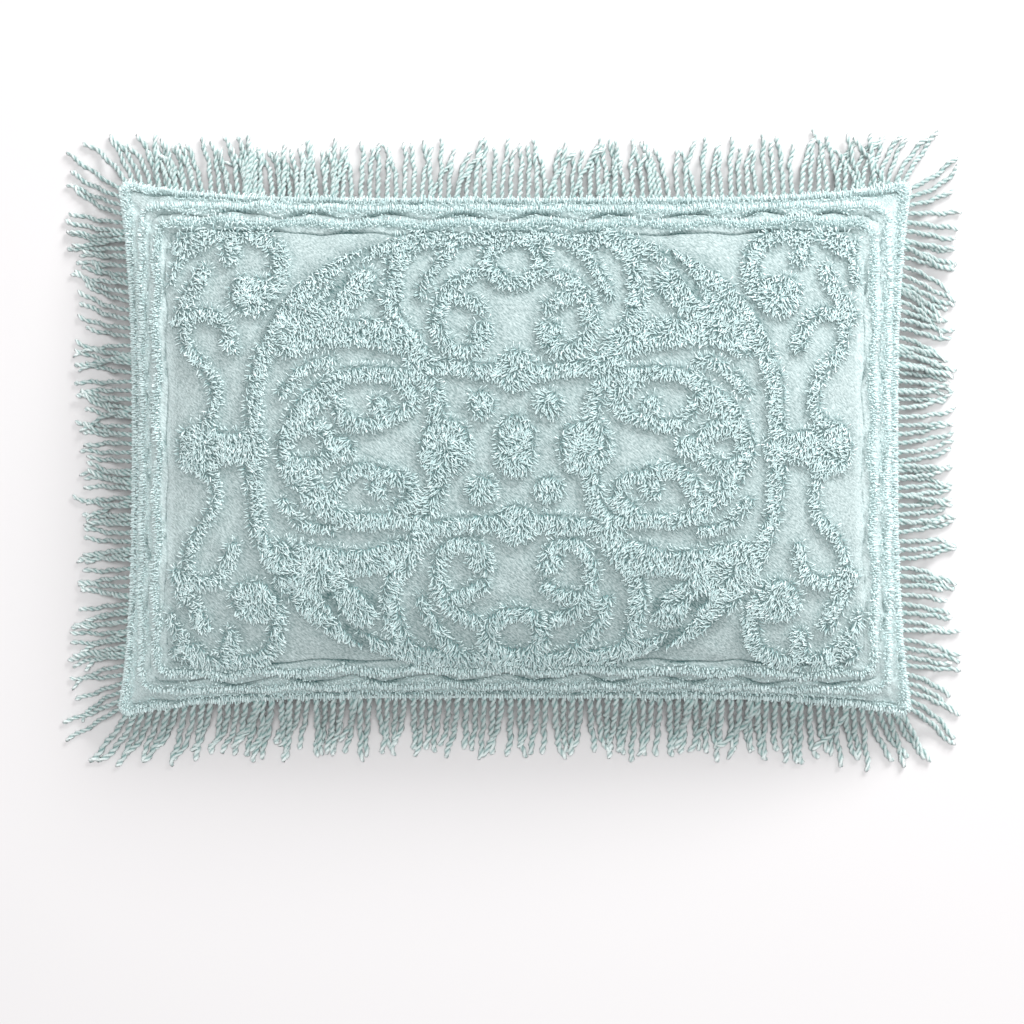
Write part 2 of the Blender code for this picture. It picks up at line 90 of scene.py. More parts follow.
# Tufted bands in one quarter of the face, mirrored into the other three.
BANDS = (
    # name, width, points along the middle
    ("centre oval", 0.038, ((0.000, 0.000), (0.000, 0.011))),
    ("centre dot", 0.028, ((0.031, 0.040),)),
    ("frame side", 0.017, ((0.069, 0.000), (0.071, 0.028), (0.076, 0.052), (0.088, 0.068))),
    ("frame side knot", 0.050, ((0.065, 0.000), (0.065, 0.003))),
    ("frame end", 0.017, ((0.000, 0.072), (0.037, 0.072), (0.074, 0.076), (0.093, 0.081))),
    ("frame end knot", 0.040, ((0.000, 0.072),)),
    ("side lobe", 0.016, ((0.088, 0.068), (0.121, 0.069), (0.154, 0.068), (0.178, 0.056),
        (0.198, 0.040), (0.212, 0.020), (0.216, 0.000))),
    ("side scroll", 0.015, ((0.112, 0.063), (0.096, 0.049), (0.099, 0.034), (0.117, 0.027),
        (0.140, 0.021), (0.158, 0.028), (0.170, 0.045), (0.173, 0.062))),
    ("side scroll tip", 0.022, ((0.126, 0.039),)),
    ("side nose", 0.026, ((0.161, 0.000), (0.166, 0.000))),
    ("side leaf", 0.012, ((0.172, 0.079), (0.190, 0.076), (0.205, 0.067), (0.216, 0.051))),
    ("side wedge", 0.020, ((0.185, 0.041), (0.198, 0.033), (0.206, 0.024))),
    ("slanting leaf", 0.028, ((0.100, 0.100), (0.140, 0.108), (0.175, 0.108), (0.213, 0.099))),
    ("leaf fill", 0.036, ((0.142, 0.153), (0.174, 0.134), (0.201, 0.109))),
    ("end lobe", 0.018, ((0.079, 0.080), (0.098, 0.103), (0.109, 0.120), (0.114, 0.140),
        (0.113, 0.160), (0.104, 0.186), (0.086, 0.206))),
    ("end scroll", 0.015, ((0.037, 0.165), (0.058, 0.153), (0.069, 0.134), (0.071, 0.112),
        (0.061, 0.095), (0.045, 0.090), (0.031, 0.098), (0.028, 0.114))),
    ("end scroll tip", 0.024, ((0.033, 0.107),)),
    ("end scroll branch", 0.015, ((0.058, 0.143), (0.042, 0.139), (0.031, 0.132))),
    ("end leaf", 0.013, ((0.086, 0.145), (0.078, 0.165), (0.065, 0.184), (0.054, 0.194))),
    ("corner head", 0.040, ((0.238, 0.143), (0.248, 0.143))),
    ("corner scroll", 0.017, ((0.224, 0.143), (0.219, 0.168), (0.224, 0.191), (0.244, 0.203),
        (0.271, 0.203), (0.296, 0.198), (0.317, 0.188))),
    ("corner hook", 0.018, ((0.265, 0.178), (0.266, 0.200))),
    ("corner edge", 0.011, ((0.291, 0.192), (0.316, 0.176), (0.326, 0.154))),
    ("corner petal", 0.017, ((0.292, 0.165), (0.303, 0.146), (0.315, 0.129))),
    ("corner tail", 0.015, ((0.321, 0.119), (0.289, 0.125), (0.272, 0.115), (0.265, 0.094))),
    ("side garland", 0.013, ((0.310, 0.117), (0.311, 0.098), (0.299, 0.080), (0.286, 0.064),
        (0.281, 0.045), (0.286, 0.028), (0.299, 0.017))),
    ("side bar", 0.032, ((0.246, 0.000), (0.296, 0.000))),
    ("side knot", 0.050, ((0.294, 0.000), (0.298, 0.000))),
)

# Closed tufted bands.
RINGS = (
    # name, width, centre x, centre y, radius x, radius y, squareness
    ("side eye", 0.017, 0.1935, 0.000, 0.0215, 0.0185, 2.0),
    ("end eye", 0.017, 0.000, 0.179, 0.025, 0.022, 2.0),
    ("medallion", 0.018, 0.000, 0.000, 0.246, 0.204, 2.6),
)
BAND_STEPS = 6
RING_STEPS = 72
MEDALLION_RADII = (0.256, 0.214)
MEDALLION_SQUARENESS = 2.6

# A drift: how many waves it has, how their lengths spread, and what scales their sum to about 1.
# Each use gives how much, over what size, and a seed.
DRIFT_WAVES = 7
DRIFT_LENGTHS = (0.7, 1.6)
DRIFT_PEAK = 1.6

# Folds between the border rows, where the filling takes up the cloth.
FOLDS = (
    # distance, further in at the corners, wander, waves along a long side, phase, depth, width
    (0.0062, 0.004, 0.0006, 9, 0.4, 0.0056, 0.0010),
    (0.0245, 0.013, 0.0040, 11, 0.9, 0.0056, 0.0010),
    (0.0458, 0.010, 0.0016, 10, 2.1, 0.0030, 0.0009),
)
FOLD_ROLL = 0.55
FOLD_SWELL = 0.30
FOLD_LEAST = 0.72
FOLD_CORNER_LOSS = 0.7
# On the short sides the folds are weaker and broken up.
END_FOLD = 0.65
FOLD_BREAK = 0.5
FOLD_BREAK_LEAST = 0.2
FOLD_BREAK_DRIFT = (1.0, 0.006, 61)

# The fringe: doubled ropes whose upper ends are caught in a narrow header.
STRAND_PITCH = 0.0083
STRAND_RADIUS = 0.0026
STRAND_REACH = 0.060
STRAND_REACH_SPREAD = 0.007
STRAND_GAP = 0.0058
STRAND_REST_SHARE = 0.80
STRAND_CURL = 0.45
HEADER_GAP = 0.0003
HEADER_DEPTH = 0.0025
HEADER_END_GAP = 0.0008
HEADER_STEP = 0.003
HEADER_OUTLINE = (
    # share of the depth, share of a strand's radius up
    (0.0, -1.0), (0.7, -1.0), (1.0, -0.6), (1.0, 0.6), (0.7, 1.0), (0.0, 1.0),
)
FAN_ANGLE = 45.0
FAN_REACH = 0.024
LEAN_JITTER = 3.5
CLUMP_PULL = 0.75
CLUMP_LIMIT = 4
CLUMP_CLEAR = 0.045
PARTING_PASSES = 200
STEEPEST_LEAN = 0.8
SEED = 7
SEAM_SAMPLES = 1600
SEAM_LOOK = 0.0015

# How the ropes of each run lean, in degrees towards +X or +Y.
RUNS = (
    # name, side of the cover, ((share along the side, lean), ...)
    ("fringe_front", (0, -1), ((-0.9, -22), (-0.7, -15), (-0.4, -8), (0.0, -3), (0.4, 2), (0.8, 9),
        (0.93, 20))),
    ("fringe_right", (1, 0), ((-0.9, -14), (-0.6, -7), (-0.3, 4), (0.1, 6), (0.4, -10), (0.65, -20),
        (0.9, -6))),
    ("fringe_back", (0, 1), ((-0.9, -22), (-0.7, -15), (-0.4, -4), (0.0, 3), (0.4, -3), (0.7, 5),
        (0.9, 16))),
    ("fringe_left", (-1, 0), ((-0.9, -12), (-0.5, -4), (-0.1, 3), (0.3, 9), (0.55, 18), (0.75, 4),
        (0.9, 14))),
)
# Ropes that lie across their neighbours.
CROSSING = (
    # run, share along the side from, to, how many
    ("fringe_back", -0.95, -0.45, 24),
    ("fringe_back", -0.30, 0.45, 8),
    ("fringe_back", 0.70, 0.95, 5),
    ("fringe_left", -0.90, 0.85, 23),
    ("fringe_right", -0.75, 0.80, 13),
    ("fringe_front", -0.85, -0.40, 8),
    ("fringe_front", 0.10, 0.92, 8),
)
CROSSING_LEAN = 17.0
CROSSING_LIFT = 0.0042
CROSSING_RISE = 5
CROSSING_REACHES = (0.84, 1.06)

# The simulated cloth.
CLOTH_CELLS_X = 96
CLOTH_CELLS_Y = 64
CLOTH_FRAMES = 24
CLOTH_NOISE = 0.0004
CLOTH_SETTINGS = {
    "quality": 6, "mass": 0.15, "air_damping": 4.0, "tension_stiffness": 30.0,
    "compression_stiffness": 30.0, "shear_stiffness": 12.0, "bending_stiffness": 0.5,
    "use_pressure": True, "uniform_pressure_force": 6.0,
}

# The finished cover.
BORDER_BAND = 0.052
BORDER_CELL = 0.0008
FIELD_CELL = 0.0050
BACK_CELLS_X = 72
BACK_CELLS_Y = 48
BACK_INSET = 0.008
BED_RISE = 0.0028
BED_INSET = 0.0012
BED_SHOULDER = 0.0035
# Painted shade: how much darker the cloth is painted where it lies under the pile.
UNDER_PILE_SHADE = 0.45
GROUND_TONE = 0.70
# Painted shade: how much darker the cloth is painted next to the bands, and over what distance.
POCKET_SHADE = 0.28
POCKET_REACH = 0.012
# Painted light: how much lighter the border of the short sides is painted, as its steep rows get
# less light.
END_ROW_PAINTED_LIGHT = 1.2
# Painted light and shade across the face: the tone in the middle, and how much lighter it is
# painted at the short sides.
MIDDLE_PAINTED_SHADE = 0.92
SIDE_PAINTED_LIGHT = 0.20
RUMPLE_DRIFT = (0.0008, 0.034, 31)
EDGE_FADE = 0.005
ROLL_CORNER_RADIUS = 0.05
FLOOR_SOFTNESS = 0.006
FLOOR_GAP = 0.0001

# Cut yarn ends: where they stand, in staggered rows.
PILE_PITCH = 0.0023
PILE_STAGGER = math.sqrt(0.75)
PILE_JITTER = 0.34
PILE_INSET = 0.0008
PILE_SEAM_GAP = 0.0015
FOLD_BARE = 0.30
INNER_ROW_FROM = 0.027
INNER_ROW_INSET = 0.0034
# A bare channel between the ring and the corner scrolls, in the measure of medallion_shares.
CHANNEL_REACH = (0.955, 1.035)
CHANNEL_FROM = 0.45
# Bare strips in the corner leaves of the medallion, in one quarter.
BARE_STRIPS = (
    # name, width, points along the middle
    ("beside the ring", 0.0085, ((0.137, 0.188), (0.148, 0.177), (0.157, 0.167), (0.164, 0.153),
        (0.175, 0.140))),
    ("triangle side", 0.0065, ((0.125, 0.159), (0.130, 0.150), (0.136, 0.141), (0.142, 0.134))),
    ("triangle middle", 0.0100, ((0.1275, 0.1375), (0.1355, 0.1335))),
    ("triangle foot", 0.0095, ((0.125, 0.1285), (0.148, 0.1285))),
)
# The medallion's outline wobbles, as hand-guided tufting does.
PILE_WOBBLE_DRIFTS = ((0.0014, 0.045, 21), (0.0014, 0.045, 22))
RASTER = 0.001
# Ribs of yarn across the border rows.
RIB_PITCH = 0.0023
RIB_STRAY = 0.80
RIB_STRAY_ENDS = 0.95
RIB_DRIFT = (0.0030, 0.030, 51)

# How the yarn ends of the medallion and of the border rows lie. A lean is in degrees from upright
# inside a band, with what its edge adds; a bend is how far foot and end turn from it.
PILE_LENGTH = 0.0070
PILE_RADIUS = 0.00072
PILE_SPLAY = 0.0032
PILE_LEAN = (43, -9)
PILE_TURN = 0.50
PILE_BEND = (0.30, 0.62)
PILE_STRAY = 0.20
PILE_HOOK = 0.42
PILE_ACROSS = 0.55
PILE_COMBED = 0.8
PILE_COMB = math.radians(-92)
PILE_FAN = 3.0
PILE_SWIRL_DRIFT = (0.8, 0.030, 41)
ROW_YARN_LENGTH = 0.0044
ROW_YARN_RADIUS = 0.00088
ROW_YARN_REACH = 0.0046
ROW_YARN_LEAN = (20, 44)
ROW_YARN_TURN = 0.80
ROW_YARN_BEND = (0.22, 0.42)
ROW_YARN_STRAY = 0.18
ROW_YARN_COMBED = 0.12
# How much of the painted shade at the roots is lifted in the border rows, and in those of the short
# sides, which are painted lighter.
ROW_ROOT_TONE = 0.90
ROW_ROOT_TONE_ENDS = 1.0
# The longer yarn next to the seam.
EDGE_YARN_REACH = 0.0060
EDGE_YARN_FADE = 1.5
EDGE_YARN_ON_ENDS = 0.4
EDGE_YARN_LONGER = (0.1, 0.9)
EDGE_YARN_LEAN = math.radians(14)
EDGE_YARN_STRAY = 0.35
# What all yarn ends share.
LEAN_SPREAD = 0.18
LEAN_LIMITS = (0.15, 1.15)
PILE_LENGTH_SPREAD = 0.18
PILE_RADIUS_SHARES = (0.85, 1.2)
PILE_ROOT_DEPTH = 0.0010
YARN_WIDTHS = (1.05, 1.0, 0.9)
# Painted shade along a yarn end, from root to end: the root is painted dark, as shade falls deep in
# the pile.
YARN_PAINTED_SHADING = (0.0, 0.75, 1.0)
YARN_TONES = (0.62, 1.10)
# Painted shade: how much darker yarn is painted in a fold.
YARN_FOLD_SHADE = 0.8
PILE_SEED = 11

# Twisted ropes.
ROPE_RINGS = 36
ROPE_TWIST = 0.0165
ROPE_SIZES = {"fringe_front": 1.0, "fringe_right": 0.86, "fringe_back": 0.86, "fringe_left": 0.80}
ROPE_FALL_TWIST = 0.35
ROPE_PLY_RADIUS = 0.0020
ROPE_PLY_OFFSET = 0.00138
ROPE_REST = 0.0033
ROPE_START = -0.03
ROPE_PLY_ARC = math.radians(82)
ROPE_GROOVE = 1.1
ROPE_TWIST_SPREAD = (0.90, 1.12)
ROPE_SIZE_SPREAD = (0.92, 1.06)
ROPE_SLACK = 0.35
ROPE_SLACK_LENGTH = 0.023
ROPE_WAVE = 0.0013
ROPE_WAVE_LENGTH = 0.030
ROPE_CURL = 0.0055
ROPE_PHASES = (0, 6.28)
ROPE_TIP_LENGTH = 0.0020
ROPE_TIP_LEAST = 0.45
# Painted light and shade on the ropes: the grooves are painted dark, the tone rises away from the
# cover's shadow at the seam, and the tips, within this reach, are painted lighter where they catch
# the light.
ROPE_TIP_REACH = 0.012
ROPE_TONE = 0.57
ROPE_PAINTED_LIGHT_RISE = 0.20
ROPE_TIP_PAINTED_LIGHT = 0.36
ROPE_TONE_SPREAD = (0.8, 1.0)

# Cotton, and the direction and stretch of its weave. The tone mixes each darkest and lightest
# colour; painted shade pulls it towards the darkest.
COTTONS = (
    # name, darkest, lightest, grain size, grain depth, fleck
    ("cover_cotton", (0.06, 0.13, 0.13), (0.585, 0.69, 0.69), 0.0013, 0.0008, 1.4),
    ("pile_cotton", (0.09, 0.25, 0.255), (0.83, 0.975, 0.975), 0.0012, 0.0002, 0.1),
    ("rope_cotton", (0.17, 0.31, 0.30), (0.90, 0.975, 0.965), 0.0011, 0.0006, 0.35),
)
COTTON_INPUTS = {
    "Roughness": 0.92, "Specular IOR Level": 0.12, "Sheen Weight": 0.2, "Sheen Roughness": 0.5,
}
WEAVE_TURN = math.radians(140)
WEAVE_STRETCH = (2.6, 1.0, 1.0)
GRAIN_DETAIL = 2.0

# The set, and the camera straight above it: at SCALE_HEIGHT a pixel covers PIXEL.
LAMPS = (
    # name, size, energy, place
    ("key", 1.6, 142.0, (2.0, 2.9, 2.1)),
    ("overhead", 1.2, 160.0, (0.2, 0.3, 5.0)),
)
WORLD_INPUTS = {"Color": (1.0, 0.975, 0.985, 1), "Strength": 0.42}
FLOOR_HALF = 6.0
FLOOR_INPUTS = {"Base Color": (0.71, 0.700, 0.704, 1), "Roughness": 0.9, "Specular IOR Level": 0.1}
LENS = 90.0
SENSOR = 36.0
PIXEL = 0.00094
IMAGE_WIDTH = 1024
CAMERA_ASIDE = 0.0028
CAMERA_DOWN = 0.060
SCALE_HEIGHT = 0.046


# ---- the cover's form


def eased(u, v):
    """Points of the cut moved so that its corners are round."""
    radius = CORNER_RADIUS
    a = np.clip(np.abs(u) - (CUT_HALF_X - radius), 0, radius) / radius
    b = np.clip(np.abs(v) - (CUT_HALF_Y - radius), 0, radius) / radius
    in_x = radius * a * (1 - np.sqrt(1 - b * b / 2))
    in_y = radius * b * (1 - np.sqrt(1 - a * a / 2))
    return np.sign(u) * (np.abs(u) - in_x), np.sign(v) * (np.abs(v) - in_y)


def plan(u, v):
    """Where a point of the flat cut lies, seen from above, once the cover is filled."""
    s = u / CUT_HALF_X
    t = v / CUT_HALF_Y
    out_x = s * (1 + SLACK_X * (1 - np.abs(s) ** SLACK_POWER))
    out_y = t * (1 + SLACK_Y * (1 - np.abs(t) ** SLACK_POWER))
    reach_x = SEAM_MID_X + (SEAM_CORNER_X - SEAM_MID_X) * np.abs(t) ** DRAW_IN_X_POWER
    reach_y = SEAM_MID_Y + (SEAM_CORNER_Y - SEAM_MID_Y) * np.abs(s) ** DRAW_IN_Y_POWER
    return out_x * reach_x, out_y * reach_y


def seam_z(u, v):
    share = np.abs(u / CUT_HALF_X * v / CUT_HALF_Y) ** SEAM_FALL_POWER
    return SEAM_MID_Z + (SEAM_CORNER_Z - SEAM_MID_Z) * share


def crown(u, v):
    across_x = np.clip(1 - np.abs(u / CUT_HALF_X) ** CROWN_X_POWER, 0, 1) ** CROWN_SHOULDER
    across_y = np.clip(1 - np.abs(v / CUT_HALF_Y) ** CROWN_Y_POWER, 0, 1) ** CROWN_SHOULDER
    return CROWN_RISE * across_x * across_y


def sham_offset():
    """How far the sham was slid from the origin in model.glb; the cover is even about its own
    middle.
    """
    low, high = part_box("sham")
    return np.array([(low[0] + high[0]) / 2, (low[1] + high[1]) / 2, 0.0])


def drift(u, v, most, size, seed):
    """A smooth wandering value, about most either way at its peaks, that changes over size."""
    rng = np.random.default_rng(seed)
    total = np.zeros(u.shape)
    for _ in range(DRIFT_WAVES):
        heading = rng.uniform(0, 2 * math.pi)
        number = 2 * math.pi / (size * rng.uniform(*DRIFT_LENGTHS))
        phase = rng.uniform(0, 2 * math.pi)
        total += np.cos(number * (u * math.cos(heading) + v * math.sin(heading)) + phase)
    return most * (total / math.sqrt(DRIFT_WAVES / 2) / DRIFT_PEAK)


# ---- the tufting


def carried_on(rows):
    """Rows with one more at each end, carried on straight."""
    return np.concatenate([2 * rows[:1] - rows[1:2], rows, 2 * rows[-1:] - rows[-2:-1]])


def smooth_line(points):
    """A curve through given points (Catmull-Rom)."""
    points = np.array(points, float)
    if len(points) < 3:
        return points
    ends = carried_on(points)
    line = []
    for i in range(len(points) - 1):
        a, b, c, d = ends[i:i + 4]
        for q in np.arange(BAND_STEPS) / BAND_STEPS:
            bend = (2 * a - 5 * b + 4 * c - d) * q ** 2 + (3 * b - a - 3 * c + d) * q ** 3
            line.append(0.5 * (2 * b + (c - a) * q + bend))
    return np.array(line + [points[-1]])


def ring_line(x, y, radius_x, radius_y, squareness):
    """The points of a superellipse."""
    angle = np.linspace(0, 2 * math.pi, RING_STEPS + 1)
    round_it = np.stack([np.cos(angle), np.sin(angle)])
    across, along = np.sign(round_it) * np.abs(round_it) ** (2 / squareness)
    return np.column_stack([x + radius_x * across, y + radius_y * along])


def distance_to_line(u, v, line):
    if len(line) == 1:
        return np.hypot(u - line[0, 0], v - line[0, 1])
    nearest = np.full(u.shape, np.inf)
    for (x, y), (step_x, step_y) in zip(line[:-1], np.diff(line, axis=0)):
        q = ((u - x) * step_x + (v - y) * step_y) / (step_x ** 2 + step_y ** 2)
        q = np.clip(q, 0, 1)
        nearest = np.minimum(nearest, np.hypot(u - x - q * step_x, v - y - q * step_y))
    return nearest


def insets(u, v):
    return CUT_HALF_X - np.abs(u), CUT_HALF_Y - np.abs(v)


def distance_from_seam(u, v, radius):
    """How far in from the edge of the cut a point lies, with rounded corners."""
    in_x, in_y = insets(u, v)
    corner = (in_x < radius) & (in_y < radius)
    rounded = radius - np.hypot(radius - in_x, radius - in_y)
    return np.where(corner, rounded, np.minimum(in_x, in_y))


def from_edge(u, v):
    return np.minimum(*insets(u, v))


def on_short_side(u, v):
    return np.less(*insets(u, v))


def beside_seam(u, v):
    """Place along the seam, and how near a corner is, from 0 to 1."""
    in_x, in_y = insets(u, v)
    along = np.where(in_y < in_x, u, v + CUT_HALF_X)
    near = np.clip(1 - np.maximum(in_x, in_y) / CORNER_REACH, 0, 1)
    return along, near ** 2 * (3 - 2 * near)


def border_depth(u, v):
    """How far inside a row of the border a point lies."""
    deepest = np.full(u.shape, -np.inf)
    along, near = beside_seam(u, v)
    for distance, width, spread, wander, waves, phase in BORDER_ROWS:
        inset = distance_from_seam(u, v, distance + spread + ROW_CORNER_RADIUS)
        wave = wander * (1 - near) * np.sin(math.pi * waves * along / CUT_HALF_X + phase)
        middle = distance + spread * near + wave
        deepest = np.maximum(deepest, width / 2 - np.abs(inset - middle))
    return deepest


def cell_of(place, last):
    """The cell of a raster that each place is in, and how far through the cell it is."""
    place = np.clip(place, 0, last)
    cell = place.astype(int)
    return cell, place - cell


def field_depth(u, v):
    """How far inside a band of the medallion or the corners a point of one quarter lies."""
    lines = [(width, smooth_line(points)) for _, width, points in BANDS]
    lines += [(width, ring_line(*ring)) for _, width, *ring in RINGS]
    return np.max([width / 2 - distance_to_line(u, v, line) for width, line in lines], axis=0)


class Field:
    """The medallion's depth on an even raster of one quarter, read at any point of the face."""

    def __init__(self):
        self.count_x = round(CUT_HALF_X / RASTER) + 1
        self.count_y = round(CUT_HALF_Y / RASTER) + 1
        u, v = np.meshgrid(np.arange(self.count_x), np.arange(self.count_y), indexing="ij")
        self.values = field_depth(u * RASTER, v * RASTER)

    def depth(self, u, v):
        aside, ahead = (drift(u, v, *wobble) for wobble in PILE_WOBBLE_DRIFTS)
        i, p = cell_of(np.abs(u + aside) / RASTER, self.count_x - 1.001)
        j, q = cell_of(np.abs(v + ahead) / RASTER, self.count_y - 1.001)
        low = self.values[i, j] * (1 - p) + self.values[i + 1, j] * p
        high = self.values[i, j + 1] * (1 - p) + self.values[i + 1, j + 1] * p
        return low * (1 - q) + high * q


def folds(u, v):
    """What the folds do to the face: height, roll inwards, and how deep in a fold a point lies."""
    along, near = beside_seam(u, v)
    on_long_side = np.greater(*insets(u, v))
    broken = np.clip(FOLD_BREAK + drift(u, v, *FOLD_BREAK_DRIFT), FOLD_BREAK_LEAST, 1)
    height, roll, cavity = np.zeros((3, *u.shape))
    for distance, spread, wander, waves, phase, depth, width in FOLDS:
        swing = np.abs(np.sin((math.pi * waves * along / CUT_HALF_X + phase) / 2))
        middle = distance + spread * near + wander * (1 - near) * (1 - 2 * swing)
        off = distance_from_seam(u, v, distance + spread + ROW_CORNER_RADIUS) - middle
        strength = np.clip(FOLD_LEAST + 2 * swing, 0, 1) * (1 - FOLD_CORNER_LOSS * near)
        strength *= np.where(on_long_side, 1.0, END_FOLD * broken)
        trough = np.exp(-(off / width) ** 2) * strength
        swell = np.exp(-((off + 3 * width) / (2 * width)) ** 2) * strength
        height += depth * (FOLD_SWELL * swell - trough)
        roll += FOLD_ROLL * depth * swell
        cavity = np.maximum(cavity, trough)
    return height, roll, cavity


def side_painted_light(u):
    """Painted light and shade: the tone is painted lighter towards the short sides, whose slopes
    get less light, and darker in the middle.
    """
    return MIDDLE_PAINTED_SHADE + SIDE_PAINTED_LIGHT * (u / CUT_HALF_X) ** 2


def slope(function, u, v):
    step = 0.0012
    across = function(u + step, v) - function(u - step, v)
    along = function(u, v + step) - function(u, v - step)
    return across, along


# ---- meshes from arrays


def mesh_object(name, points, faces, tone=None):
    """A smooth-shaded mesh from arrays of faces; the material may read each point's tone."""
    data = bpy.data.meshes.new(name)
    data.vertices.add(len(points))
    data.vertices.foreach_set("co", np.asarray(points, np.float32).ravel())
    corners = np.concatenate([f.ravel() for f in faces]).astype(np.int32)
    sides = np.concatenate([np.full(len(f), f.shape[1]) for f in faces])
    data.loops.add(len(corners))
    data.loops.foreach_set("vertex_index", corners)
    data.polygons.add(len(sides))
    data.polygons.foreach_set("loop_start", (np.cumsum(sides) - sides).astype(np.int32))
    data.update(calc_edges=True)
    data.validate()
    data.shade_smooth()
    if tone is not None:
        attribute = data.attributes.new("tone", "FLOAT", "POINT")
        attribute.data.foreach_set("value", np.asarray(tone, np.float32).ravel())
    obj = bpy.data.objects.new(name, data)
    bpy.context.scene.collection.objects.link(obj)
    return obj


def unit(vectors):
    return vectors / np.linalg.norm(vectors, axis=-1, keepdims=True)


def between(first, second, angle):
    """Directions turned from the first towards the second by each angle."""
    return np.cos(angle)[:, None] * first + np.sin(angle)[:, None] * second


def numbered(shape):
    return np.arange(math.prod(shape)).reshape(shape)


def grid_faces(ids):
    """Quads of a grid of vertex numbers, facing as its first axis turns to its second."""
    corners = (ids[:-1, :-1], ids[1:, :-1], ids[1:, 1:], ids[:-1, 1:])
    return np.stack(corners, axis=-1).reshape(-1, 4)


def rim(ids):
    """Vertex numbers anticlockwise round a grid's edge, the first one twice."""
    return np.concatenate([ids[:-1, 0], ids[-1, :-1], ids[:0:-1, -1], ids[0, :0:-1], ids[0, :1]])


def stitch(outer, outer_at, inner, inner_at):
    """Triangles between two rows of vertex numbers, walked by their places along the row."""
    faces = []
    i = j = 0
    while i < len(outer) - 1 or j < len(inner) - 1:
        if j == len(inner) - 1 or (i < len(outer) - 1 and outer_at[i + 1] <= inner_at[j + 1]):
            faces.append((outer[i + 1], outer[i], inner[j]))
            i += 1
        else:
            faces.append((inner[j], inner[j + 1], outer[i]))
            j += 1
    return np.array(faces)


def cubic(a, b, c, d, q):
    return b + 0.5 * q * (c - a + q * (2 * a - 5 * b + 4 * c - d + q * (3 * (b - c) + d - a)))


def resample(grid, u, v):
    """A grid over the whole cut, read at any point by cubic curves."""
    padded = carried_on(carried_on(grid).swapaxes(0, 1)).swapaxes(0, 1)
    cells_x = grid.shape[0] - 1
    cells_y = grid.shape[1] - 1
    i, p = cell_of((u / CUT_HALF_X + 1) / 2 * cells_x, cells_x - 1e-9)
    j, q = cell_of((v / CUT_HALF_Y + 1) / 2 * cells_y, cells_y - 1e-9)
    rows = [cubic(*(padded[i + a, j + b] for b in range(4)), q[..., None]) for a in range(4)]
    return cubic(*rows, p[..., None])


def surface_frame(grid, u, v):
    """Point, the two directions of the cloth and the outward normal at places on a panel."""
    step = 0.002
    along_u = unit(resample(grid, u + step, v) - resample(grid, u - step, v))
    along_v = resample(grid, u, v + step) - resample(grid, u, v - step)
    normal = unit(np.cross(along_u, along_v))
    return resample(grid, u, v), along_u, np.cross(normal, along_u), normal


# ---- the padded cover


def two_panels(top, bottom):
    """Points and quads of two grids that share their edge: the face looks up, the back down."""
    ids = numbered(top.shape[:2])
    inner = np.zeros(ids.shape, bool)
    inner[1:-1, 1:-1] = True
    back_ids = ids.copy()
    back_ids[inner] = ids.size + np.arange(inner.sum())
    points = np.concatenate([top.reshape(-1, 3), bottom[inner]])
    faces = np.concatenate([grid_faces(ids), grid_faces(back_ids)[:, ::-1]])
    return points, faces, ids, back_ids


def filled_panels():
    """The face and the back of the filled cover as grids of points, blown up as cloth."""
    u, v = np.meshgrid(
        np.linspace(-CUT_HALF_X, CUT_HALF_X, CLOTH_CELLS_X + 1),
        np.linspace(-CUT_HALF_Y, CUT_HALF_Y, CLOTH_CELLS_Y + 1),
        indexing="ij",
    )
    x, y = plan(*eased(u, v))
    rise = crown(u, v)
    rough = np.random.default_rng(SEED).normal(0, CLOTH_NOISE, u.shape)
    top = np.stack([x, y, seam_z(u, v) + rise + rough * (rise > 0)], axis=-1)
    bottom = np.stack([x, y, seam_z(u, v) - BACK_DEPTH * rise], axis=-1)
    points, faces, ids, back_ids = two_panels(top, bottom)
    flat = np.stack([u, v, np.zeros_like(u)], axis=-1)
    flat_points = two_panels(flat, flat)[0]
    pillow = mesh_object("pillow_cloth", points, [faces])
    pillow.shape_key_add(name="Basis", from_mix=False)
    cut = pillow.shape_key_add(name="cut", from_mix=False)
    cut.data.foreach_set("co", flat_points.astype(np.float32).ravel())
    cut.value = 0.0
    held = pillow.vertex_groups.new(name="seam")
    held.add(np.unique(rim(ids)).tolist(), 1.0, "REPLACE")
    cloth = pillow.modifiers.new("Cloth", "CLOTH")
    for setting, value in CLOTH_SETTINGS.items():
        setattr(cloth.settings, setting, value)
    cloth.settings.rest_shape_key = cut
    cloth.settings.vertex_group_mass = held.name
    cloth.settings.effector_weights.gravity = 0.0
    cloth.collision_settings.use_collision = False
    cloth.point_cache.frame_start = 1
    cloth.point_cache.frame_end = CLOTH_FRAMES
    scene = bpy.context.scene
    for step in range(1, CLOTH_FRAMES + 1):
        scene.frame_set(step)
    blown = pillow.evaluated_get(bpy.context.evaluated_depsgraph_get())
    mesh = blown.to_mesh()
    result = np.empty(len(mesh.vertices) * 3, np.float32)
    mesh.vertices.foreach_get("co", result)
    blown.to_mesh_clear()
    scene.frame_set(1)
    bpy.data.objects.remove(pillow, do_unlink=True)
    result = result.reshape(-1, 3).astype(float)
    return result[ids], result[back_ids]


def settle(points):
    """Lets the underside lie flat on the floor, with a soft bend where it leaves it."""
    z = points[..., 2]
    soft = (z + np.sqrt(z * z + FLOOR_SOFTNESS ** 2)) / 2 - FLOOR_SOFTNESS / 2
    soft = np.where(z < 4 * FLOOR_SOFTNESS, np.minimum(soft, z), z)
    points[..., 2] = np.maximum(soft, FLOOR_GAP)
    return points


def places(half):
    """Places across a panel, closer together in the border."""
    edge = np.linspace(half - BORDER_BAND, half, round(BORDER_BAND / BORDER_CELL) + 1)
    across = 2 * (half - BORDER_BAND)
    inside = np.linspace(-across / 2, across / 2, round(across / FIELD_CELL) + 1)
    return np.concatenate([-edge[::-1], inside[1:-1], edge])


